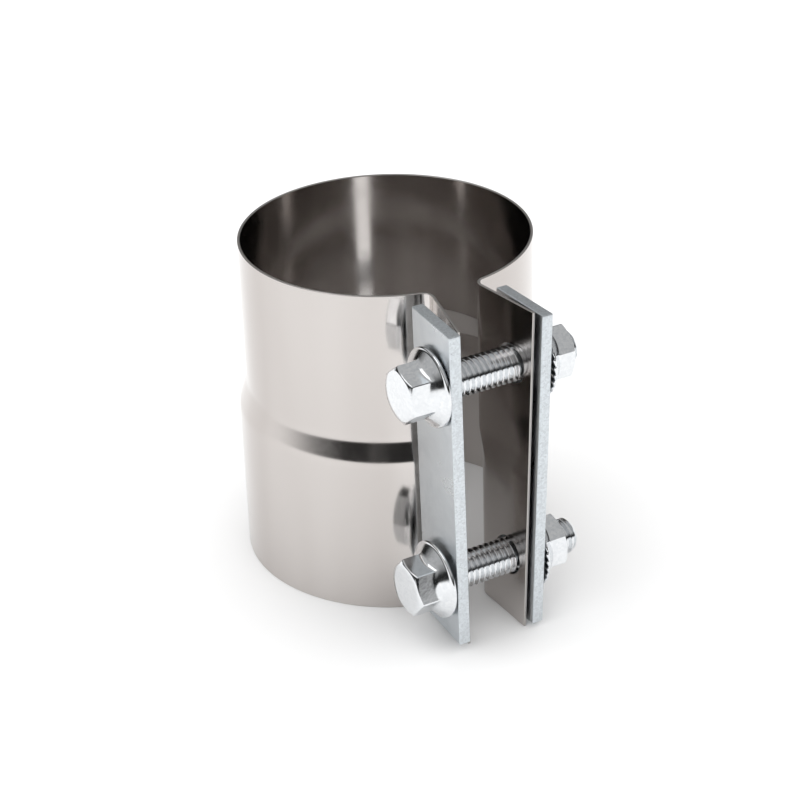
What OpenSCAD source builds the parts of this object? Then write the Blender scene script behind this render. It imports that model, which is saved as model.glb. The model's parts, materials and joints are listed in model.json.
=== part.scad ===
// Stepped lap-joint band clamp: one stainless band, two reaction bars, two flange bolts, two flange nuts.
// The band stands on its own axis (+Z). Its two flanges point to -Y and the bolts run along X,
// heads on the -X side and nuts on the +X side. All lengths are in millimetres.

/* [Band] */
// Bore of the upper section, the outside diameter of the pipe it grips
pipe_bore_d = 76.2; // [72:0.1:79]
// How much larger the radius of the lower section is, for the pipe that overlaps the first
step_rise = 2.2; // [1:0.1:2.6]
// Thickness of the band sheet
sheet_t = 0.8; // [0.7:0.1:1.2]
// Height of the band along the pipe
band_h = 91; // [88:1:96]
// Height at which the pressed step begins
step_z = 43.5; // [38:0.1:50]
// Height of the pressed step
step_h = 6.5; // [5:0.1:8]

/* [Flanges] */
// Angle from the middle plane to the foot of each flange, upper section, in degrees
foot_upper_angle = 9.3; // [8:0.1:11]
// Angle from the middle plane to the foot of each flange, lower section, in degrees
foot_lower_angle = 8.4; // [8:0.1:11]
// Direction of the right flange away from the middle plane, upper section, in degrees
right_upper_angle = 7.8; // [6:0.1:10]
// Direction of the right flange away from the middle plane, lower section, in degrees
right_lower_angle = 4.2; // [3:0.1:8]
// Direction of the left flange away from the middle plane, upper section, in degrees
left_upper_angle = 9.2; // [6:0.1:10]
// Direction of the left flange away from the middle plane, lower section, in degrees
left_lower_angle = 8.4; // [5:0.1:9]
// Distance from the pipe axis to the outer edges of the flanges
flange_reach = 61; // [60.5:0.1:62]
// Centre line radius of the bend between the band and a flange
bend_r = 3; // [2:0.1:4]
// Diameter of the bolt holes in the flanges and the bars
hole_d = 11.2; // [10.8:0.1:11.6]

/* [Bars] */
// Width of a bar, measured away from the band
bar_w = 20; // [19:0.5:20]
// Thickness of a bar
bar_t = 3.2; // [2.5:0.1:4]
// Length of a bar along the band
bar_h = 89; // [76:0.5:89]
// Distance from the pipe axis to the outer edge of a bar
bar_reach = 63.5; // [63:0.1:65]
// Height of the left bar's lower end
bar_left_z = 2.3; // [0:0.1:3]
// Height of the right bar's lower end
bar_right_z = 1.3; // [0:0.1:3]
// Lean of the left bar away from the middle plane, in degrees
bar_left_lean = 0.3; // [-1:0.1:1]
// Lean of the right bar away from the middle plane, in degrees
bar_right_lean = 5.8; // [4:0.1:6]
// Tilt of the left bar, its top away from the middle plane, in degrees
bar_left_tilt = 0.85; // [0:0.05:1.2]
// Tilt of the right bar, its top away from the middle plane, in degrees
bar_right_tilt = 1.9; // [1:0.05:2.2]

/* [Bolts] */
// Outside diameter of the thread
thread_d = 9.52; // [8:0.01:9.6]
// Length of a bolt under its head
bolt_len = 40.4; // [39:0.1:60]
// Size across the flats of the hexagons
hex_af = 13.4; // [13:0.1:15]
// Diameter of the round flanges under the hexagons
flange_d = 21.2; // [19:0.1:21.6]
// Height of a bolt head with its flange
head_h = 9.3; // [8:0.1:11]
// Height of a nut with its flange
nut_h = 8.8; // [8:0.1:10]
// Height of the lower bolt above the bottom rim
bolt_low_z = 18; // [16:0.5:22]
// Height of the upper bolt above the bottom rim
bolt_high_z = 74; // [68:0.5:76]
// Distance from the pipe axis to the bolts
bolt_reach = 53.4; // [53:0.1:54]
// Angle between the bolts and the X axis, in degrees
bolt_lean = 3; // [2.5:0.1:3.5]
// Turn of the upper bolt's head about its axis, in degrees
bolt_high_turn = 10; // [-30:1:30]
// Turn of the lower bolt's head about its axis, in degrees
bolt_low_turn = 20; // [-30:1:30]
// Turn of the upper nut about its axis, in degrees
nut_high_turn = 10; // [-30:1:30]
// Turn of the lower nut about its axis, in degrees
nut_low_turn = -5; // [-30:1:30]

/* [Hidden] */

$fn = 128;
eps = 0.5;                 // how far a cut runs past the solid it cuts
far = 60;                  // reach of the wedges that trim the rings, well past the band
seam = 0.2;                // slit at the back, where the two halves of the band meet
step_slices = 4;           // thin rings that build up the pressed step
bend_thinning = 0.03;      // how much each face of the sheet draws in at a bend
bend_tuck = 4;             // degrees by which each end of a bend runs into the sheet it joins
touch_gap = 0.05;          // space between a bar and the flange edge it leans on
upper_head_gap = 0.7;      // space between the upper bolt head and its bar
lower_head_gap = 1.2;      // the same at the lower bolt head
nut_gap = 1;               // space between a nut and its bar, which leans as the clamp closes
thread_play = 0.04;        // radial play between a thread and its nut
rim_t = 1.2;               // thickness of a hexagon's round flange at its edge
skirt_h = 2.8;             // height of the cone between the round flange and the hexagon
chamfer = 0.9;             // bevel at the bolt's end and at the mouth of the nut
upper_r = (pipe_bore_d + sheet_t) / 2;      // centre line radius of the upper section
lower_r = upper_r + step_rise;              // centre line radius of the lower section
slices = step_slices + 2;                   // slices in each half of the band: lower section, step, upper
hex_ac = hex_af / cos(30);                  // size across the corners of the hexagons

// A length to the nearest hundredth, so that a slice ends exactly where the next one begins
function hundredths(v) = round(v * 100) / 100;

// Height at which slice k begins: slice 0 is the lower section and the last slice is the upper section
function slice_z(k) =
    k == 0 ? 0 : k == slices ? band_h : hundredths(step_z + step_h * (k - 1) / step_slices);

// How far slice k has come through the step: 0 in the lower section, 1 in the upper
function rise_share(k) = k / (slices - 1);

// Centre line radius of slice k
function ring_r(k) = lower_r - step_rise * rise_share(k);

// Direction angle of the bend's centre in slice k, seen from the pipe axis
function bend_angle(k) =
    foot_lower_angle + (foot_upper_angle - foot_lower_angle) * rise_share(k)
    + asin(bend_r / (ring_r(k) + bend_r));

// Place of that centre
function bend_centre(k) = (ring_r(k) + bend_r) * [sin(bend_angle(k)), -cos(bend_angle(k))];

// Direction of a flange in slice k, away from the middle plane, from its directions in the two sections
function flange_dir(k, lower, upper) = lower + (upper - lower) * rise_share(k);

// Length of the flat flange sheet in slice k, from the end of the bend outwards, for flange direction d
function sheet_len(k, d) = (flange_reach + bend_centre(k)[1] - bend_r * sin(d)) / cos(d);

// Distance from the pipe axis, square to a bar of this lean, of a line on a flange's outer face in slice k:
// inset is that line's distance from the outer end of the sheet
function face_at(k, d, lean, inset) =
    bend_centre(k) * [cos(lean), sin(lean)]
    + (sheet_t / 2 - bend_r) * cos(d - lean) + (sheet_len(k, d) - inset) * sin(d - lean);

// Distance from the pipe axis to a bar's inner face, at half the band's height and square to the bar:
// the bar just clears every slice of the flange beside it
function bar_face(lower, upper, lean, tilt) =
    max([for (k = [0 : slices - 1]) for (z = [slice_z(k), slice_z(k + 1)]) for (inset = [0, bar_w])
        face_at(k, flange_dir(k, lower, upper), lean, inset) - tan(tilt) * (z - band_h / 2)])
    + touch_gap;

right_face = bar_face(right_lower_angle, right_upper_angle, bar_right_lean, bar_right_tilt);
left_face = bar_face(left_lower_angle, left_upper_angle, bar_left_lean, bar_left_tilt);

// Distance along a bolt at height z from the middle plane to a bar's outer face: side is 1 at the nuts
function bar_on_bolt(face, tilt, lean, z, side) =
    (face + tan(tilt) * (z - band_h / 2) + bar_t / cos(tilt) + bolt_reach * sin(lean))
    / cos(lean - side * bolt_lean);

// Bearing face of the bolt heads and of the nuts, along the bolt at height z
function head_at(z, gap) = -bar_on_bolt(left_face, bar_left_tilt, bar_left_lean, z, -1) - gap;
function nut_at(z) = bar_on_bolt(right_face, bar_right_tilt, bar_right_lean, z, 1) + nut_gap;

// Places its children on a bolt's axis at height z, their +Z along the bolt, s from the middle plane
module on_bolt(z, s) {
    translate([0, -bolt_reach, z]) rotate([0, 0, bolt_lean]) rotate([0, 90, 0]) translate([0, 0, s]) children();
}

// Two holes that run out from the middle plane, on the nut side
module bolt_holes() {
    for (z = [bolt_low_z, bolt_high_z]) on_bolt(z, 0) cylinder(d = hole_d, h = far);
}

// The same holes on the head side
module bolt_holes_left() {
    for (z = [bolt_low_z, bolt_high_z]) on_bolt(z, -far) cylinder(d = hole_d, h = far);
}

// Outline of a tube of centre line radius r and wall thickness t
module tube(r, t) {
    difference() {
        circle(r = r + t / 2);
        circle(r = r - t / 2);
    }
}

// Half of slice k's ring, from the slit at the back to the start of the bend
module half_ring(k) {
    front = far * tan(bend_angle(k));
    intersection() {
        tube(ring_r(k), sheet_t);
        polygon([[0, 0], [front, -far], [far, -far], [far, far], [seam / 2, far], [seam / 2, 0]]);
    }
}

// Bend from the ring into the flange: a sector of a small tube that is a little thinner than the sheet,
// as a bend is, and whose ends run a short way into the ring and into the flange sheet
module bend(k, d) {
    ring_end = 90 + bend_angle(k) - bend_tuck;
    sheet_end = 180 + d + bend_tuck;
    to_ring = 3 * bend_r * [cos(ring_end), sin(ring_end)];
    to_sheet = 3 * bend_r * [cos(sheet_end), sin(sheet_end)];
    intersection() {
        tube(bend_r, sheet_t - 2 * bend_thinning);
        polygon([[0, 0], to_sheet, to_sheet + to_ring, to_ring]);
    }
}

// Slice k of the right half of the band, with its flange in direction d
module band_slice(k, d) {
    translate([0, 0, slice_z(k)]) linear_extrude(slice_z(k + 1) - slice_z(k)) union() {
        half_ring(k);
        translate([bend_centre(k)[0], bend_centre(k)[1]]) {
            bend(k, d);
            rotate(d) translate([-bend_r - sheet_t / 2, -sheet_len(k, d)]) square([sheet_t, sheet_len(k, d)]);
        }
    }
}

// Right half of the band before drilling: lower section, pressed step, upper section
module half_band(lower, upper) {
    for (k = [0 : slices - 1]) band_slice(k, flange_dir(k, lower, upper));
}

module band_right() {
    color("gainsboro") difference() {
        half_band(right_lower_angle, right_upper_angle);
        bolt_holes();
    }
}

module band_left() {
    color("gainsboro") difference() {
        mirror([1, 0, 0]) half_band(left_lower_angle, left_upper_angle);
        bolt_holes_left();
    }
}

// Flat bar on the right side that leans on its flange sheet, its lower end at height z
module bar(face, tilt, lean, z) {
    rotate([0, 0, lean]) translate([face, 0, band_h / 2]) rotate([0, tilt, 0])
        translate([0, -bar_reach, z - band_h / 2]) cube([bar_t, bar_w, bar_h]);
}

module bar_right() {
    color("lightsteelblue") difference() {
        bar(right_face, bar_right_tilt, bar_right_lean, bar_right_z);
        bolt_holes();
    }
}

module bar_left() {
    color("lightsteelblue") difference() {
        mirror([1, 0, 0]) bar(left_face, bar_left_tilt, bar_left_lean, bar_left_z);
        bolt_holes_left();
    }
}

// Hexagon with a round flange, its bearing face at the origin and its height along +Z
module flanged_hex(h, turn) {
    crown_r = hex_af / 2 - 0.2;
    cylinder(d = flange_d, h = rim_t);
    translate([0, 0, rim_t]) cylinder(d1 = flange_d - 0.8, d2 = hex_af, h = skirt_h);
    intersection() {
        rotate([0, 0, turn]) cylinder(d = hex_ac, h = h, $fn = 6);
        cylinder(r1 = crown_r + h / tan(30), r2 = crown_r, h = h);
    }
}

module flange_bolt(z, turn, gap) {
    color("silver") on_bolt(z, head_at(z, gap)) {
        rotate([180, 0, 0]) flanged_hex(head_h, turn);
        cylinder(d = thread_d, h = bolt_len - chamfer);
        translate([0, 0, bolt_len - chamfer])
            cylinder(d1 = thread_d, d2 = thread_d - 2 * chamfer, h = chamfer);
    }
}

module flange_nut(z, turn) {
    color("silver") on_bolt(z, nut_at(z)) difference() {
        flanged_hex(nut_h, turn);
        translate([0, 0, -eps]) cylinder(d = thread_d + 2 * thread_play, h = nut_h + 2 * eps);
    }
}

module bolt_upper() { flange_bolt(bolt_high_z, bolt_high_turn, upper_head_gap); }
module bolt_lower() { flange_bolt(bolt_low_z, bolt_low_turn, lower_head_gap); }
module nut_upper() { flange_nut(bolt_high_z, nut_high_turn); }
module nut_lower() { flange_nut(bolt_low_z, nut_low_turn); }

band_left();
band_right();
bar_left();
bar_right();
bolt_upper();
bolt_lower();
nut_upper();
nut_lower();
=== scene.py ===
import bpy
import bmesh
import numpy as np
from mathutils import Matrix, Vector
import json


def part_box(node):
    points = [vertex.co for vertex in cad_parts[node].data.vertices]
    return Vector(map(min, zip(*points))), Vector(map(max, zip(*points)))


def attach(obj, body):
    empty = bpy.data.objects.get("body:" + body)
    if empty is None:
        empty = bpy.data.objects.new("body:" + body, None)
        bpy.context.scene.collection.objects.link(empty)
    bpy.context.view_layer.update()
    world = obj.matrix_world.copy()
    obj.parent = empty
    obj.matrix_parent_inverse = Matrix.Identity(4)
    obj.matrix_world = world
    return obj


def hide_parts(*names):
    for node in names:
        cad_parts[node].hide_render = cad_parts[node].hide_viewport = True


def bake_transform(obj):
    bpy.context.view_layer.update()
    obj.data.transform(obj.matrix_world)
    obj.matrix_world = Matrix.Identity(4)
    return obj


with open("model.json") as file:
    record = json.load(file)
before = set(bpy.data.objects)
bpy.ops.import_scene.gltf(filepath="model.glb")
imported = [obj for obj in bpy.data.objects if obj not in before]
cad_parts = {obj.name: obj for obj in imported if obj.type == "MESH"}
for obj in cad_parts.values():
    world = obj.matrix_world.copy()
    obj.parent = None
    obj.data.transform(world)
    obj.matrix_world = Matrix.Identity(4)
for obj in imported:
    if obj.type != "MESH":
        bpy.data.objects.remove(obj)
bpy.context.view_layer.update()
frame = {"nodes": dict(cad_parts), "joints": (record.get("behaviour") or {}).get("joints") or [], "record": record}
record = frame["record"]
joints = {joint["name"]: joint for joint in frame["joints"]}
mounts = {mount["name"]: mount for mount in record["mounts"]}
print("frame loaded:", len(frame["nodes"]), "nodes")

mm = 0.001


cameraSettings = {
    "azimuth": 25.6,        # degrees the view direction turns from +Y towards +X
    "elevation": 28.7,      # degrees above the floor
    "roll": -1.9,           # degrees, positive lifts the right side of the picture
    "distance": 601 * mm,
    "side": 2.5 * mm,       # aim point right of the pipe axis
    "height": 40.4 * mm,    # aim point above the floor
    "focal": 98.8,          # millimetres on a 36 mm sensor
}


def makeCamera(opts):
    turn, tilt, roll = (np.radians(opts[k]) for k in ("azimuth", "elevation", "roll"))
    ahead = Vector((np.sin(turn) * np.cos(tilt), np.cos(turn) * np.cos(tilt), -np.sin(tilt)))
    flat = Vector((np.cos(turn), -np.sin(turn), 0.0))
    lift = flat.cross(ahead)
    right = flat * np.cos(roll) + lift * np.sin(roll)
    up = lift * np.cos(roll) - flat * np.sin(roll)
    aim = flat * opts["side"] + Vector((0.0, 0.0, opts["height"]))
    data = bpy.data.cameras.new("camera")
    data.sensor_width = 36.0
    data.lens = opts["focal"]
    data.clip_start = 0.01
    camera = bpy.data.objects.new("camera", data)
    bpy.context.scene.collection.objects.link(camera)
    axes = Matrix((right, up, -ahead)).transposed().to_4x4()
    camera.matrix_world = Matrix.Translation(aim - ahead * opts["distance"]) @ axes
    bpy.context.scene.camera = camera


makeCamera(cameraSettings)
print("camera set")


def ease(t):
    t = np.clip(t, 0.0, 1.0)
    return t * t * (3.0 - 2.0 * t)      # smooth step, flat at both ends


def softMin(a, b, k):
    h = np.clip(0.5 + 0.5 * (b - a) / k, 0.0, 1.0)
    return b + (a - b) * h - k * h * (1.0 - h)      # the smaller of two lengths, rounded over k where they cross


def softMax(a, b, k):
    return -softMin(-a, -b, k)


def stations(*pairs):
    # one line through several stretches: each pair is (end of the stretch, number of steps in it)
    line = [np.array([pairs[0][0]])]
    for (start, _), (end, steps) in zip(pairs[:-1], pairs[1:]):
        line.append(np.linspace(start, end, steps + 1)[1:])
    return np.concatenate(line)


def gridQuads(rows, columns, loopRows=False):
    # corner numbers of every cell of a grid, four to a line
    row = np.arange(rows if loopRows else rows - 1)[:, None]
    column = np.arange(columns - 1)[None, :]
    below = (row + 1) % rows
    a, b = row * columns + column, row * columns + column + 1
    c, d = below * columns + column + 1, below * columns + column
    return np.stack([a, b, c, d], axis=-1).reshape(-1, 4)


def makePiece(name, points, quads, uv=None):
    # a mesh object from grid points (n, 3) and cells (m, 4), with equal points welded
    mesh = bpy.data.meshes.new(name)
    mesh.from_pydata(points.tolist(), [], quads.tolist())
    if uv is not None:
        layer = mesh.uv_layers.new(name="sheet")
        layer.data.foreach_set("uv", uv[quads.ravel()].astype(np.float32).ravel())
    piece = bpy.data.objects.new(name, mesh)
    bpy.context.scene.collection.objects.link(piece)
    work = bmesh.new()
    work.from_mesh(mesh)
    bmesh.ops.remove_doubles(work, verts=work.verts, dist=2e-6)
    bmesh.ops.dissolve_degenerate(work, edges=work.edges, dist=1e-7)
    bmesh.ops.recalc_face_normals(work, faces=work.faces)
    work.to_mesh(mesh)
    work.free()
    mesh.polygons.foreach_set("use_smooth", np.ones(len(mesh.polygons), bool))
    mesh.update()
    return piece


def finishModifiers(piece):
    # the evaluated mesh takes the place of the plain one, so that nothing live is left on the piece
    evaluated = piece.evaluated_get(bpy.context.evaluated_depsgraph_get())
    solid = bpy.data.meshes.new_from_object(evaluated)
    piece.modifiers.clear()
    piece.data = solid


def sharpen(piece, degrees):
    # creases keep a hard shading line, the rest stays smooth
    work = bmesh.new()
    work.from_mesh(piece.data)
    for edge in work.edges:
        edge.smooth = len(edge.link_faces) == 2 and edge.calc_face_angle(0.0) < np.radians(degrees)
    work.to_mesh(piece.data)
    work.free()


def roundHole(across, along, centre, radius, reach):
    # square rings of grid lines round a hole are drawn into circles: full effect at the hole's edge, none at reach
    a, b = across - centre[0], along - centre[1]
    square = np.maximum(np.abs(a), np.abs(b))
    length = np.maximum(np.hypot(a, b), 1e-9)
    pull = np.where(square < reach, 1.0 - ease((square - radius) / (reach - radius)), 0.0)
    scale = 1.0 + pull * (square / length - 1.0)
    return centre[0] + a * scale, centre[1] + b * scale


def openHoles(quads, rowAt, columnAt, centres, radius):
    # leaves out the grid cells inside each hole; rowAt and columnAt are the grid lines' places before rounding.
    # Cells are counted on the whole grid, so quads has to hold all of them: a second pass lands off its place
    cell = np.arange(len(quads))
    row, column = cell // (len(columnAt) - 1), cell % (len(columnAt) - 1)
    a = (rowAt[row] + rowAt[row + 1]) / 2
    b = (columnAt[column] + columnAt[column + 1]) / 2
    inside = np.zeros(len(quads), bool)
    for centre in centres:
        inside |= (np.abs(a - centre[0]) < radius) & (np.abs(b - centre[1]) < radius)
    return quads[~inside]


def giveThickness(piece, thickness, edgeRound):
    # sheet and bar: wall either side of the middle surface, cut edges in the second material, all edges rounded
    wall = piece.modifiers.new("wall", "SOLIDIFY")
    wall.thickness = thickness
    wall.offset = 0.0
    wall.use_even_offset = True
    wall.material_offset_rim = 1
    rim = piece.modifiers.new("rim", "BEVEL")
    rim.width = edgeRound
    rim.segments = 3
    rim.limit_method = "ANGLE"
    rim.angle_limit = np.radians(50)
    rim.harden_normals = True
    finishModifiers(piece)


def addNode(tree, kind, links=None, **settings):
    # a node with its settings, and its inputs given as a value or as another node's output
    node = tree.nodes.new(kind)
    for name, value in settings.items():
        setattr(node, name, value)
    for name, value in (links or {}).items():
        if isinstance(value, bpy.types.NodeSocket):
            tree.links.new(value, node.inputs[name])
        else:
            node.inputs[name].default_value = value
    return node


def newGroup(name, inputs, outputs):
    tree = bpy.data.node_groups.new(name, "ShaderNodeTree")
    for label, kind, value in inputs:
        socket = tree.interface.new_socket(label, in_out="INPUT", socket_type=kind)
        if value is not None:
            socket.default_value = value
    for label, kind in outputs:
        tree.interface.new_socket(label, in_out="OUTPUT", socket_type=kind)
    return tree, addNode(tree, "NodeGroupInput").outputs, addNode(tree, "NodeGroupOutput").inputs


def makeDrawnGrain():
    # long fine lines: noise stretched along one direction, with a slower drift that lets the lines come and go
    tree, given, out = newGroup(
        "drawnGrain",
        [("Vector", "NodeSocketVector", None), ("Stretch", "NodeSocketVector", (1.0, 1.0, 1.0)),
         ("Scale", "NodeSocketFloat", 1000.0)],
        [("Height", "NodeSocketFloat"), ("Drift", "NodeSocketFloat")])
    placed = addNode(tree, "ShaderNodeMapping", {"Vector": given["Vector"], "Scale": given["Stretch"]})
    lines = addNode(tree, "ShaderNodeTexNoise",
                    {"Vector": placed.outputs[0], "Scale": given["Scale"], "Detail": 3.0, "Roughness": 0.6})
    slow = addNode(tree, "ShaderNodeMath", {0: given["Scale"], 1: 0.12}, operation="MULTIPLY")
    drift = addNode(tree, "ShaderNodeTexNoise",
                    {"Vector": placed.outputs[0], "Scale": slow.outputs[0], "Detail": 2.0, "Roughness": 0.5})
    tree.links.new(lines.outputs["Fac"], out["Height"])
    tree.links.new(drift.outputs["Fac"], out["Drift"])
    return tree


def makeHandling():
    # faint smears and wiped patches that make a polished face a little duller in places
    tree, given, out = newGroup(
        "handling",
        [("Vector", "NodeSocketVector", None), ("Scale", "NodeSocketFloat", 60.0),
         ("Clean", "NodeSocketFloat", 0.1), ("Dull", "NodeSocketFloat", 0.3)],
        [("Roughness", "NodeSocketFloat"), ("Mask", "NodeSocketFloat")])
    patches = addNode(tree, "ShaderNodeTexNoise",
                      {"Vector": given["Vector"], "Scale": given["Scale"], "Detail": 5.0, "Roughness": 0.62,
                       "Distortion": 0.6})
    mask = addNode(tree, "ShaderNodeMapRange",
                   {"Value": patches.outputs["Fac"], "From Min": 0.35, "From Max": 0.72})
    rough = addNode(tree, "ShaderNodeMapRange",
                    {"Value": mask.outputs[0], "To Min": given["Clean"], "To Max": given["Dull"]})
    tree.links.new(rough.outputs[0], out["Roughness"])
    tree.links.new(mask.outputs[0], out["Mask"])
    return tree


def makeCrystals():
    # small crystals of zinc plate: cells with their own slight tone, and pits where three of them meet
    tree, given, out = newGroup(
        "crystals",
        [("Vector", "NodeSocketVector", None), ("Scale", "NodeSocketFloat", 2500.0),
         ("Pits", "NodeSocketFloat", 0.4)],
        [("Height", "NodeSocketFloat"), ("Tone", "NodeSocketFloat"), ("Pit", "NodeSocketFloat")])
    cells = addNode(tree, "ShaderNodeTexVoronoi", {"Vector": given["Vector"], "Scale": given["Scale"]})
    coarse = addNode(tree, "ShaderNodeMath", {0: given["Scale"], 1: 0.35}, operation="MULTIPLY")
    field = addNode(tree, "ShaderNodeTexNoise",
                    {"Vector": given["Vector"], "Scale": coarse.outputs[0], "Detail": 4.0, "Roughness": 0.7})
    edge = addNode(tree, "ShaderNodeMath", {0: 0.78, 1: given["Pits"]}, operation="SUBTRACT")
    pit = addNode(tree, "ShaderNodeMapRange",
                  {"Value": field.outputs["Fac"], "From Min": edge.outputs[0], "From Max": 0.82})
    tone = addNode(tree, "ShaderNodeSeparateColor", {"Color": cells.outputs["Color"]})
    tree.links.new(cells.outputs["Distance"], out["Height"])
    tree.links.new(tone.outputs[0], out["Tone"])
    tree.links.new(pit.outputs[0], out["Pit"])
    return tree


drawnGrain = makeDrawnGrain()
handling = makeHandling()
crystals = makeCrystals()


def fillGroup(tree, group, links):
    node = tree.nodes.new("ShaderNodeGroup")
    node.node_tree = group
    for name, value in links.items():
        if isinstance(value, bpy.types.NodeSocket):
            tree.links.new(value, node.inputs[name])
        else:
            node.inputs[name].default_value = value
    return node


def newMetal(name):
    # a material with an empty metal shader, and the coordinates its patterns read
    material = bpy.data.materials.new(name)
    material.use_nodes = True
    tree = material.node_tree
    shader = tree.nodes["Principled BSDF"]
    shader.inputs["Metallic"].default_value = 1.0
    place = addNode(tree, "ShaderNodeTexCoord")
    return material, tree, shader, place


def mixTone(tree, factor, dark, light):
    mix = addNode(tree, "ShaderNodeMix", None, data_type="RGBA")
    mix.inputs["A"].default_value = (*dark, 1.0)
    mix.inputs["B"].default_value = (*light, 1.0)
    tree.links.new(factor, mix.inputs["Factor"])
    return mix.outputs["Result"]


def bumpFrom(tree, height, strength, distance):
    bump = addNode(tree, "ShaderNodeBump", {"Height": height, "Strength": strength, "Distance": distance})
    return bump.outputs[0]


bandFinish = {
    # dark and light: the two ends of the painted reflection bands, tall streaks of darker and lighter base colour
    # round the band
    "dark": (0.515, 0.48, 0.46),
    "light": (0.65, 0.62, 0.60),
    "clean": 0.10,
    "dull": 0.19,
    "grainScale": 900.0,
    "grainStrength": 0.02,
    "streakScale": 260.0,
    "smearScale": 45.0,
}


def makeBandSteel(opts):
    # bright rolled stainless: fine grain runs along the strip, painted reflection bands run across it as soft lighter
    # and darker streaks of base colour, wiped patches are duller
    material, tree, shader, place = newMetal("bandSteel")
    strip = addNode(tree, "ShaderNodeUVMap", None, uv_map="sheet").outputs[0]
    grain = fillGroup(tree, drawnGrain,
                      {"Vector": strip, "Stretch": (0.02, 6.0, 1.0), "Scale": opts["grainScale"]})
    # painted reflection: slow noise stretched up the band gives tall streaks of lighter and darker base colour in
    # place of the studio's reflected bands
    paintedReflectionBands = fillGroup(tree, drawnGrain,
                        {"Vector": strip, "Stretch": (1.0, 0.12, 1.0), "Scale": opts["streakScale"]})
    paintedReflectionTone = addNode(tree, "ShaderNodeMapRange",
                     {"Value": paintedReflectionBands.outputs["Drift"], "From Min": 0.32, "From Max": 0.68})
    smears = fillGroup(tree, handling, {"Vector": place.outputs["Object"], "Scale": opts["smearScale"],
                                        "Clean": opts["clean"], "Dull": opts["dull"]})
    # the base colour carries the painted reflection bands
    tree.links.new(mixTone(tree, paintedReflectionTone.outputs[0], opts["dark"], opts["light"]), shader.inputs["Base Color"])
    tree.links.new(smears.outputs["Roughness"], shader.inputs["Roughness"])
    tree.links.new(bumpFrom(tree, grain.outputs["Height"], opts["grainStrength"], 0.00002), shader.inputs["Normal"])
    return material


edgeFinish = {
    "dark": (0.36, 0.34, 0.32),
    "light": (0.60, 0.58, 0.56),
    "roughness": 0.3,
}


def makeCutEdge(opts):
    # slit edge of the sheet: darker and rougher than the rolled faces, with short lines across it
    material, tree, shader, place = newMetal("cutEdge")
    shader.inputs["Roughness"].default_value = opts["roughness"]
    grain = fillGroup(tree, drawnGrain, {"Vector": place.outputs["Object"], "Stretch": (1.0, 1.0, 4.0),
                                         "Scale": 1600.0})
    tree.links.new(mixTone(tree, grain.outputs["Height"], opts["dark"], opts["light"]), shader.inputs["Base Color"])
    tree.links.new(bumpFrom(tree, grain.outputs["Height"], 0.2, 0.00003), shader.inputs["Normal"])
    return material


barFinish = {
    "dark": (0.46, 0.49, 0.515),
    "light": (0.60, 0.635, 0.66),
    "clean": 0.27,
    "dull": 0.42,
    "edgeRoughness": 0.46,
    "edgeLift": 1.22,       # how much lighter the palest crystals of the narrow faces are
}


def makeBarZinc(opts):
    # satin zinc over drawn bar: soft crystals, faint lines along the bar, wiped patches
    material, tree, shader, place = newMetal("barZinc")
    spot = place.outputs["Object"]
    grain = fillGroup(tree, drawnGrain, {"Vector": spot, "Stretch": (1.0, 1.0, 0.06), "Scale": 900.0})
    plate = fillGroup(tree, crystals, {"Vector": spot, "Scale": 2600.0, "Pits": 0.02})
    smears = fillGroup(tree, handling, {"Vector": spot, "Scale": 90.0, "Clean": opts["clean"], "Dull": opts["dull"]})
    blend = addNode(tree, "ShaderNodeMath", {0: grain.outputs["Drift"], 1: smears.outputs["Mask"]},
                    operation="MULTIPLY")
    tree.links.new(mixTone(tree, blend.outputs[0], opts["light"], opts["dark"]), shader.inputs["Base Color"])
    tree.links.new(smears.outputs["Roughness"], shader.inputs["Roughness"])
    both = addNode(tree, "ShaderNodeMath", {0: plate.outputs["Height"], 1: grain.outputs["Height"]}, operation="ADD")
    tree.links.new(bumpFrom(tree, both.outputs[0], 0.12, 0.00004), shader.inputs["Normal"])
    return material


def makeBarEdge(opts):
    # narrow faces of the bar: lighter, grainy and speckled with small dark pits
    material, tree, shader, place = newMetal("barEdge")
    spot = place.outputs["Object"]
    shader.inputs["Roughness"].default_value = opts["edgeRoughness"]
    plate = fillGroup(tree, crystals, {"Vector": spot, "Scale": 2200.0, "Pits": 0.16})
    pale = tuple(min(1.0, c * opts["edgeLift"]) for c in opts["light"])
    pits = addNode(tree, "ShaderNodeMix", {"Factor": plate.outputs["Pit"]}, data_type="RGBA")
    pits.inputs["B"].default_value = (*[c * 0.5 for c in opts["dark"]], 1.0)
    tree.links.new(mixTone(tree, plate.outputs["Tone"], opts["light"], pale), pits.inputs["A"])
    tree.links.new(pits.outputs["Result"], shader.inputs["Base Color"])
    tree.links.new(bumpFrom(tree, plate.outputs["Height"], 0.35, 0.00006), shader.inputs["Normal"])
    return material


fastenerFinish = {
    "dark": (0.74, 0.76, 0.78),
    "light": (0.82, 0.835, 0.85),
    "clean": 0.08,
    "dull": 0.2,
}


def makeBrightZinc(opts):
    # bright zinc of bolts and nuts: near mirror, with faint wiped patches and hardly visible crystals
    material, tree, shader, place = newMetal("brightZinc")
    spot = place.outputs["Object"]
    smears = fillGroup(tree, handling,
                       {"Vector": spot, "Scale": 160.0, "Clean": opts["clean"], "Dull": opts["dull"]})
    plate = fillGroup(tree, crystals, {"Vector": spot, "Scale": 1500.0, "Pits": 0.0})
    tree.links.new(mixTone(tree, plate.outputs["Tone"], opts["dark"], opts["light"]), shader.inputs["Base Color"])
    tree.links.new(smears.outputs["Roughness"], shader.inputs["Roughness"])
    tree.links.new(bumpFrom(tree, plate.outputs["Height"], 0.05, 0.00004), shader.inputs["Normal"])
    return material


bandSteel = makeBandSteel(bandFinish)
cutEdge = makeCutEdge(edgeFinish)
barZinc = makeBarZinc(barFinish)
barEdge = makeBarEdge(barFinish)
brightZinc = makeBrightZinc(fastenerFinish)
print("materials made")


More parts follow.
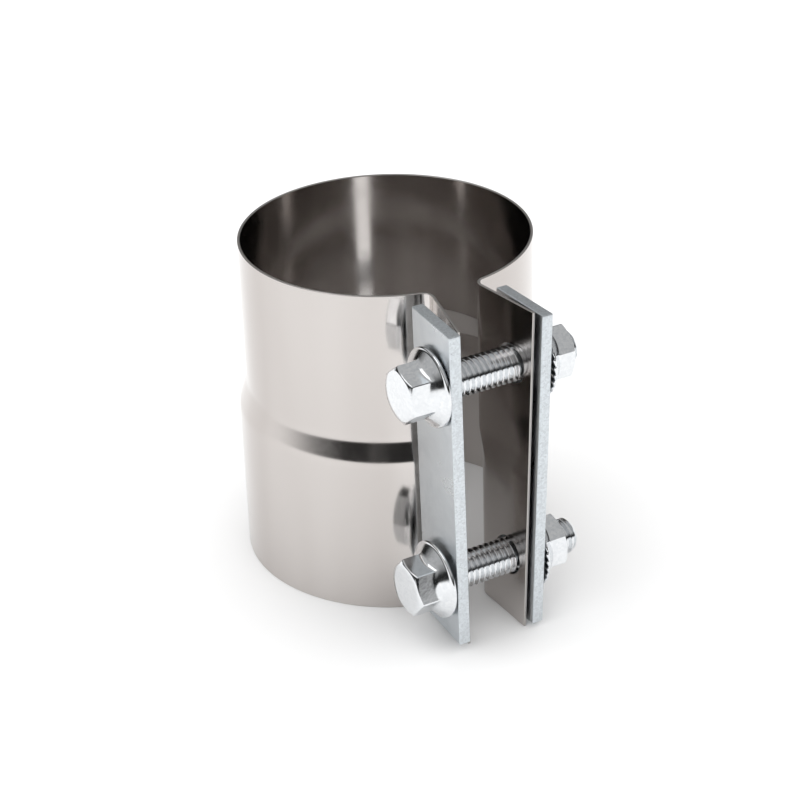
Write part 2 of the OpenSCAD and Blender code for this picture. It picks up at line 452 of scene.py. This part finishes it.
# the bolts' place and the thread's climb, from the frame
boltAxis = np.array(joints["bolt_upper_turn"]["axis"])
boltReach = -joints["bolt_upper_turn"]["pos_m"][1]
boltHeights = {
    "upper": joints["bolt_upper_turn"]["pos_m"][2],
    "lower": joints["bolt_lower_turn"]["pos_m"][2],
}
nutCoupling = [c for c in record["behaviour"]["couplings"] if c["joint"] == "nut_upper_travel"][0]
threadPitch = nutCoupling["ratio"] * 2.0 * np.pi
boltLean = np.arctan2(boltAxis[1], boltAxis[0])
boltDown = np.array([0.0, 0.0, -1.0])           # first cross direction of a bolt
boltBack = np.cross(boltAxis, boltDown)         # second cross direction, towards the band


def nodePoints(node):
    mesh = frame["nodes"][node].data
    flat = np.empty(len(mesh.vertices) * 3)
    mesh.vertices.foreach_get("co", flat)
    return flat.reshape(-1, 3)


def spanAlong(node, level):
    # where a bolt or nut starts and ends along its axis, from the middle plane
    along = (nodePoints(node) - np.array([0.0, -boltReach, level])) @ boltAxis
    return along.min(), along.max()


band = {
    "foot": (np.radians(8.4), np.radians(9.3)),     # middle plane to a flange's foot: lower and upper section
    "rightEdge": (7.7 * mm, 10.4 * mm),     # middle plane to the flange's outer edge: bottom and top
    "leftEdge": (8.85 * mm, 10.35 * mm),
    "flangeReach": 61.0 * mm,           # pipe axis to the flange's outer edge
    "bendRadius": 3.0 * mm,             # centre line of the bend into a flange
    "holeRadius": 5.3 * mm,
    "holeBlend": 6.6 * mm,              # half width of the patch whose grid lines bend round a hole
    "edgeRound": 0.22 * mm,
    "height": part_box("band_right")[1].z,
    "lowerBore": mounts["lower_pipe_bore"]["dims"]["r_mm"] * mm,
    "upperBore": mounts["upper_pipe_bore"]["dims"]["r_mm"] * mm,
    "stepStart": mounts["lower_pipe_bore"]["dims"]["length_mm"] * mm,
    "upperLength": mounts["upper_pipe_bore"]["dims"]["length_mm"] * mm,
}
band["sheet"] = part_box("band_right")[1].x - band["lowerBore"]
band["stepEnd"] = band["height"] - band["upperLength"]


def upperShare(z):
    # 0 in the lower section, 1 in the upper, an even slope through the pressed step with rounded ends
    climb = (z - band["stepStart"]) / (band["stepEnd"] - band["stepStart"])
    return softMax(softMin(climb, np.ones_like(climb), 0.16), np.zeros_like(climb), 0.16)


def bandRadius(z):
    # centre line radius at height z
    lower = band["lowerBore"] + band["sheet"] / 2
    upper = band["upperBore"] + band["sheet"] / 2
    return lower + (upper - lower) * upperShare(z)


def flangeFoot(side, z):
    # for each height: direction of the flange, direction and place of the bend's centre, end of the bend;
    # the flange is the line that touches the bend's circle and ends on the flange's straight outer edge
    radius, bend = bandRadius(z), band["bendRadius"]
    bottom, top = band["rightEdge"] if side > 0 else band["leftEdge"]
    edge = bottom + (top - bottom) * z / band["height"]
    foot = band["foot"][0] + (band["foot"][1] - band["foot"][0]) * upperShare(z)
    bendAt = foot + np.arcsin(bend / (radius + bend))
    centre = (radius + bend) * np.array([np.sin(bendAt), -np.cos(bendAt)])
    tilt = np.zeros_like(z)
    for _ in range(4):      # the direction and the touching point depend on each other and settle in a few rounds
        root = centre - bend * np.array([np.cos(tilt), np.sin(tilt)])
        tilt = np.arctan2(edge - root[0], band["flangeReach"] + root[1])
    return tilt, bendAt, centre, centre - bend * np.array([np.cos(tilt), np.sin(tilt)])


def flangeX(side, z, depth):
    # distance of the flange's middle surface from the middle plane, at a depth in front of the pipe axis
    tilt, _, _, root = flangeFoot(side, z)
    return root[0] + (depth + root[1]) * np.tan(tilt)


def holeDepth(side, level):
    # where a bolt crosses a flange: depth in front of the pipe axis
    x = flangeX(side, np.array([level]), boltReach)[0]
    return boltReach - side * x * np.tan(boltLean)


def flangeLines(side):
    # grid lines of a flange, as depths in front of the pipe axis, outer edge first
    centre, hole, blend = holeDepth(side, boltHeights["upper"]), band["holeRadius"], band["holeBlend"]
    return stations((band["flangeReach"], 0), (centre + blend, 1), (centre + hole, 2), (centre - hole, 12),
                    (centre - blend, 2))


def halfBand(side, z):
    # plan of one half from the flange's outer edge to the back, for each height: flange lines, bend arc, ring arc
    radius, bend = bandRadius(z)[None, :], band["bendRadius"]
    tilt, bendAt, centre, root = flangeFoot(side, z)
    lines = flangeLines(side)[:, None]
    run = np.linspace(0.0, 1.0, 5)[1:, None]
    depth = np.concatenate([np.repeat(lines, z.size, axis=1), lines[-1] * (1.0 - run) - root[1] * run])
    turn = np.linspace(0.0, 1.0, 13)[1:, None]
    phi = (np.pi + tilt) * (1.0 - turn) + (np.pi / 2 + bendAt) * turn
    sweep = np.linspace(0.0, 1.0, 73)[1:, None]
    around = bendAt * (1.0 - sweep) + np.pi * sweep
    x = np.concatenate([root[0] + (depth + root[1]) * np.tan(tilt), centre[0] + bend * np.cos(phi),
                        radius * np.sin(around)])
    y = np.concatenate([-depth, centre[1] + bend * np.sin(phi), -radius * np.cos(around)])
    return x * side, y


def makeBand():
    # middle surface of the whole strip, right flange to left flange, with four bolt holes.
    # Known fault: the left flange is opened in a second pass of openHoles, so its two holes are off the bolts
    hole, blend = band["holeRadius"], band["holeBlend"]
    low, high = boltHeights["lower"], boltHeights["upper"]
    z = stations((0.0, 0), (low - blend, 5), (low - hole, 2), (low + hole, 12), (low + blend, 2),
                 (band["stepStart"] - 1.0 * mm, 9), (band["stepEnd"] + 1.0 * mm, 20), (high - blend, 8),
                 (high - hole, 2), (high + hole, 12), (high + blend, 2), (band["height"], 5))
    rightX, rightY = halfBand(1, z)
    leftX, leftY = halfBand(-1, z)
    x = np.concatenate([rightX, leftX[::-1][1:]])
    y = np.concatenate([rightY, leftY[::-1][1:]])
    height = np.repeat(z[None, :], len(x), axis=0)
    step = np.hypot(np.diff(x[:, 0]), np.diff(y[:, 0]))
    length = np.concatenate([[0.0], np.cumsum(step)])
    strip = np.stack([np.repeat(length[:, None], z.size, axis=1), height], axis=-1).reshape(-1, 2)
    quads = gridQuads(*x.shape)
    count = flangeLines(1).size
    for side, rows in ((1, slice(0, count)), (-1, slice(len(x) - count, None))):
        lineAt = np.full(len(x), np.inf)
        depth = -y[rows]
        lineAt[rows] = depth[:, 0]
        centres = [(holeDepth(side, high), low), (holeDepth(side, high), high)]
        quads = openHoles(quads, lineAt, z, centres, hole)
        for centre in centres:
            depth, height[rows] = roundHole(depth, height[rows], centre, hole, blend)
        tall = height[rows].ravel()
        x[rows], y[rows] = (side * flangeX(side, tall, depth.ravel())).reshape(depth.shape), -depth
    piece = makePiece("clampBand", np.stack([x, y, height], axis=-1).reshape(-1, 3), quads, strip)
    piece.data.materials.append(bandSteel)
    piece.data.materials.append(cutEdge)
    giveThickness(piece, band["sheet"], band["edgeRound"])
    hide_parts("band_left", "band_right")
    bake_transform(piece)
    return piece


bandPiece = makeBand()
print("band made:", len(bandPiece.data.polygons), "faces")


bars = {
    "edgeRound": 0.35 * mm,
    "holeRadius": 5.4 * mm,
    "holeBlend": 8.0 * mm,
}


def barAxes(node):
    # thickness, width and length directions of a bar: the normals of its largest faces that point nearest to x and z
    faces = [(f.area, np.array(f.normal)) for f in frame["nodes"][node].data.polygons]
    across = max((f for f in faces if f[1][0] > 0.9), key=lambda f: f[0])[1]
    upward = max((f for f in faces if f[1][2] > 0.9), key=lambda f: f[0])[1]
    return across, np.cross(upward, across), upward


def holeSpot(axes, which, level):
    # where a bolt crosses a bar at this level of its thickness, as places along the bar's width and length
    start, slope = axes @ np.array([0.0, -boltReach, boltHeights[which]]), axes @ boltAxis
    return (start + slope * (level - start[0]) / slope[0])[1:]


def makeBar(name, node, body):
    # flat bar: a grid in the bar's middle plane with two round holes, then its thickness and rounded edges
    axes = np.stack(barAxes(node))
    span = nodePoints(node) @ axes.T
    low, high = span.min(axis=0), span.max(axis=0)
    middle = (low[0] + high[0]) / 2
    offset, lower = holeSpot(axes, "lower", middle)
    upper = holeSpot(axes, "upper", middle)[1]
    centres = [(offset, lower), (offset, upper)]
    hole, blend = bars["holeRadius"], bars["holeBlend"]
    rowAt = stations((low[1], 0), (offset - blend, 2), (offset - hole, 3), (offset + hole, 12),
                     (offset + blend, 3), (high[1], 2))
    columnAt = stations((low[2], 0), (lower - blend, 6), (lower - hole, 3), (lower + hole, 12), (lower + blend, 3),
                        (upper - blend, 24), (upper - hole, 3), (upper + hole, 12), (upper + blend, 3), (high[2], 6))
    a, b = np.meshgrid(rowAt, columnAt, indexing="ij")
    quads = openHoles(gridQuads(rowAt.size, columnAt.size), rowAt, columnAt, centres, hole)
    for centre in centres:
        a, b = roundHole(a, b, centre, hole, blend)
    points = middle * axes[0] + a[..., None] * axes[1] + b[..., None] * axes[2]
    piece = makePiece(name, points.reshape(-1, 3), quads)
    piece.data.materials.append(barZinc)
    piece.data.materials.append(barEdge)
    giveThickness(piece, high[0] - low[0], bars["edgeRound"])
    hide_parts(node)
    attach(piece, body)
    return piece


makeBar("leftBar", "bar_left", "left_half")
makeBar("rightBar", "bar_right", "right_half")
print("bars made")


hexagon = {
    "flats": 13.4 * mm,
    "flangeRadius": 10.4 * mm,
    "rim": 1.1 * mm,            # thickness of the round flange at its edge
    "skirt": 2.9 * mm,          # height of the cone above the rim
    "crown": 6.35 * mm,         # radius where the flat end meets the bevel
    "cornerRound": 0.35 * mm,
    "filletRound": 0.7 * mm,    # between the hexagon and the cone
}
bolts = {
    "headHeight": 9.3 * mm,
    "radius": 4.76 * mm,
    "threadDepth": 0.92 * mm,
    "tipBevel": 1.1 * mm,
    "turn": {"upper": np.radians(-10.0), "lower": np.radians(-20.0)},
}
nuts = {
    "bore": 4.8 * mm,
    "mouth": 0.7 * mm,          # bevel at the bore's ends
    "teeth": 30,
    "toothDepth": 0.45 * mm,
    "teethFrom": 6.0 * mm,      # radius where the teeth begin
    "teethFade": 2.0 * mm,      # and how far out they reach their full depth
    "turn": {"upper": np.radians(10.0), "lower": np.radians(-5.0)},
}


def hexSide(theta, turn):
    # distance from the axis to a hexagon's side: half the flats over the cosine of the angle to that side's middle
    bay = np.mod(theta - turn, np.pi / 3) - np.pi / 6
    return hexagon["flats"] / 2 / np.cos(bay)


def flangedHex(theta, turn, height):
    # outline above the bearing face, end first: hexagon cut by a bevel cone, then the flange's cone and its round rim
    rim, skirt, flange = hexagon["rim"], hexagon["skirt"], hexagon["flangeRadius"]
    level = stations((height, 0), (height - 1.6 * mm, 10), (rim + skirt + 0.6 * mm, 5), (rim + skirt - 0.6 * mm, 6),
                     (rim, 12))[:, None]
    bevel = hexagon["crown"] + (height - level) * np.sqrt(3.0)
    side = softMin(hexSide(theta, turn), bevel, hexagon["cornerRound"])
    cone = flange - rim / 2 - (level - rim) * (flange - rim / 2 - hexagon["flats"] / 2) / skirt
    radius = softMax(side, cone, hexagon["filletRound"])
    edge = np.linspace(np.pi / 2, -np.pi / 2, 9)[1:, None]
    edgeLevel = rim / 2 + rim / 2 * np.sin(edge)
    edgeRadius = flange - rim / 2 + rim / 2 * np.cos(edge)
    blank = np.zeros_like(theta)[None, :]
    return (np.concatenate([level + blank, edgeLevel + blank]),
            np.concatenate([radius, edgeRadius + blank]))


def roundAxis(level, theta, along, radius):
    # points at a distance along the bolt and a radius from its axis
    start = np.array([0.0, -boltReach, level])
    cross = np.cos(theta)[..., None] * boltDown + np.sin(theta)[..., None] * boltBack
    return start + along[..., None] * boltAxis + radius[..., None] * cross


def cornerAngles(turn, count):
    # angles once round, closer together at the hexagon's corners
    t = np.linspace(0.0, 2.0 * np.pi, count + 1)
    return t - 0.11 * np.sin(6.0 * (t - turn))


def threadRows(theta, length):
    # rows that climb with the thread: distance along is the row plus one pitch a turn, cut off at both ends;
    # radius is the outer radius less a rounded vee, and no more than a 45 degree bevel at the tip.
    # Known fault: the last row can stop short of the tip where theta is 0, which leaves a hairline slit there
    row = np.arange(-threadPitch, length + threadPitch / 20, threadPitch / 10)[:, None]
    along = np.clip(row + threadPitch * theta / (2.0 * np.pi), 0.0, length)
    vee = ease((np.abs(2.0 * np.mod(row / threadPitch, 1.0) - 1.0) - 0.1) / 0.75)
    depth = bolts["threadDepth"] * vee * ease(along / threadPitch)
    tip = bolts["radius"] - bolts["tipBevel"] + (length - along)
    return along, np.minimum(bolts["radius"] - depth, tip)


def makeBolt(name, node, body, which):
    # one closed surface round the bolt's axis: end of the head, hexagon, flange, thread, tip
    level, turn = boltHeights[which], bolts["turn"][which]
    first, last = spanAlong(node, level)
    bearing = first + bolts["headHeight"]
    theta = cornerAngles(turn, 96)
    blank = np.zeros_like(theta)[None, :]
    height, outline = flangedHex(theta, turn, bolts["headHeight"])
    fill = np.linspace(0.0, 1.0, 7)[:-1, None]
    under = np.linspace(1.0, 0.0, 5)[1:, None]
    along, thread = threadRows(theta, last - bearing)
    close = np.linspace(1.0, 0.0, 5)[1:, None]
    distance = np.concatenate([
        -bolts["headHeight"] + blank + 0 * fill,
        -height,
        blank + 0 * under,
        along,
        last - bearing + blank + 0 * close,
    ])
    radius = np.concatenate([
        outline[:1] * fill,
        outline,
        bolts["radius"] + (outline[-1:] - bolts["radius"]) * under,
        thread,
        thread[-1:] * close,
    ])
    points = roundAxis(level, theta + 0 * distance, bearing + distance, radius)
    piece = makePiece(name, points.reshape(-1, 3), gridQuads(*distance.shape))
    sharpen(piece, 38)
    piece.data.materials.append(brightZinc)
    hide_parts(node)
    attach(piece, body)
    return piece


def makeNut(name, node, body, which):
    # a closed ring of outline and bore, with ratchet teeth pressed into the bearing face
    level, turn = boltHeights[which], nuts["turn"][which]
    bearing, last = spanAlong(node, level)
    height = last - bearing
    theta = np.linspace(0.0, 2.0 * np.pi, 241)
    blank = np.zeros_like(theta)[None, :]
    rise, outline = flangedHex(theta, turn, height)
    bore, mouth = nuts["bore"], nuts["mouth"]
    out = np.linspace(0.0, 1.0, 6)[:-1, None]
    back = np.linspace(1.0, 0.0, 7)[1:, None]
    up = stations((mouth, 0), (height - mouth, 3))[:, None]
    distance = np.concatenate([height + blank + 0 * out, rise, blank + 0 * back, up + blank])
    radius = np.concatenate([
        bore + mouth + (outline[:1] - bore - mouth) * out,
        outline,
        bore + mouth + (outline[-1:] - bore - mouth) * back,
        bore + blank + 0 * up,
    ])
    # teeth: a slow rise and a steep fall, deepest at the rim and gone near the bore and at the top of the rim
    phase = np.mod(theta * nuts["teeth"] / (2.0 * np.pi), 1.0)
    tooth = np.minimum(phase / 0.78, (1.0 - phase) / 0.22)
    reach = np.clip((radius - nuts["teethFrom"]) / nuts["teethFade"], 0.0, 1.0)
    low = np.clip(1.0 - distance / (0.8 * hexagon["rim"]), 0.0, 1.0)
    distance = distance + nuts["toothDepth"] * tooth * reach * low
    points = roundAxis(level, theta + 0 * distance, bearing + distance, radius)
    piece = makePiece(name, points.reshape(-1, 3), gridQuads(*distance.shape, loopRows=True))
    sharpen(piece, 38)
    piece.data.materials.append(brightZinc)
    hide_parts(node)
    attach(piece, body)
    return piece


for which in ("upper", "lower"):
    makeBolt(which + "Bolt", "bolt_" + which, which + "_bolt", which)
    makeNut(which + "Nut", "nut_" + which, which + "_nut", which)
print("bolts and nuts made")


studio = {
    "floorHalf": 3.0,
    "floorTone": 0.9,
    "pale": 1.0,            # tone of the room below the horizon
    "dark": 0.02,           # tone of its walls, from wallFrom to wallTo
    "wallFrom": 0.06,       # heights on a sphere of radius 1 round the object
    "wallTo": 0.26,
    "ceilingFrom": 0.5,
    "ceiling": 0.5,
    "domeStrength": 2.8,
    "keyPower": 1.9,
}


def makeFloor():
    side = np.linspace(-studio["floorHalf"], studio["floorHalf"], 9)
    x, y = np.meshgrid(side, side, indexing="ij")
    points = np.stack([x, y, 0 * x], axis=-1).reshape(-1, 3)
    mesh = bpy.data.meshes.new("floor")
    mesh.from_pydata(points.tolist(), [], gridQuads(9, 9).tolist())
    floor = bpy.data.objects.new("floor", mesh)
    bpy.context.scene.collection.objects.link(floor)
    material = bpy.data.materials.new("paleFloor")
    material.use_nodes = True
    shader = material.node_tree.nodes["Principled BSDF"]
    shader.inputs["Base Color"].default_value = (studio["floorTone"],) * 3 + (1.0,)
    shader.inputs["Roughness"].default_value = 0.7
    shader.inputs["Specular IOR Level"].default_value = 0.1
    mesh.materials.append(material)


def makeWorld():
    # a dark room above a pale floor, with a pale ceiling
    world = bpy.data.worlds.new("studio")
    bpy.context.scene.world = world
    world.use_nodes = True
    tree = world.node_tree
    place = addNode(tree, "ShaderNodeTexCoord")
    split = addNode(tree, "ShaderNodeSeparateXYZ", {"Vector": place.outputs["Generated"]})
    ramp = addNode(tree, "ShaderNodeValToRGB", {"Fac": split.outputs["Z"]})
    ramp.color_ramp.elements[0].position = 0.0
    ramp.color_ramp.elements[0].color = (studio["pale"],) * 3 + (1.0,)
    ramp.color_ramp.elements[1].position = studio["wallFrom"]
    ramp.color_ramp.elements[1].color = (studio["dark"],) * 3 + (1.0,)
    high = ramp.color_ramp.elements.new(studio["wallTo"])
    high.color = (studio["dark"],) * 3 + (1.0,)
    top = ramp.color_ramp.elements.new(studio["ceilingFrom"])
    top.color = (studio["ceiling"],) * 3 + (1.0,)
    tree.links.new(ramp.outputs["Color"], tree.nodes["Background"].inputs["Color"])
    tree.nodes["Background"].inputs["Strength"].default_value = 1.0


def makeDome():
    # soft light from the whole sky, left out of reflections so that polished faces mirror floor and room only
    data = bpy.data.lights.new("dome", "SUN")
    data.energy = studio["domeStrength"]
    data.angle = np.radians(165.0)
    light = bpy.data.objects.new("dome", data)
    light.visible_glossy = False
    bpy.context.scene.collection.objects.link(light)


def makeLight(name, place, aim, size, power):
    data = bpy.data.lights.new(name, "AREA")
    data.shape = "RECTANGLE"
    data.size, data.size_y = size
    data.energy = power
    light = bpy.data.objects.new(name, data)
    bpy.context.scene.collection.objects.link(light)
    place, aim = Vector(place), Vector(aim)
    light.location = place
    light.rotation_euler = (aim - place).to_track_quat("-Z", "Y").to_euler()


makeFloor()
makeWorld()
makeDome()
makeLight("key", (-0.7, 0.1, 1.2), (0.0, 0.0, 0.04), (0.7, 0.7), studio["keyPower"])
bpy.context.scene.view_settings.view_transform = "Standard"
print("stage made")
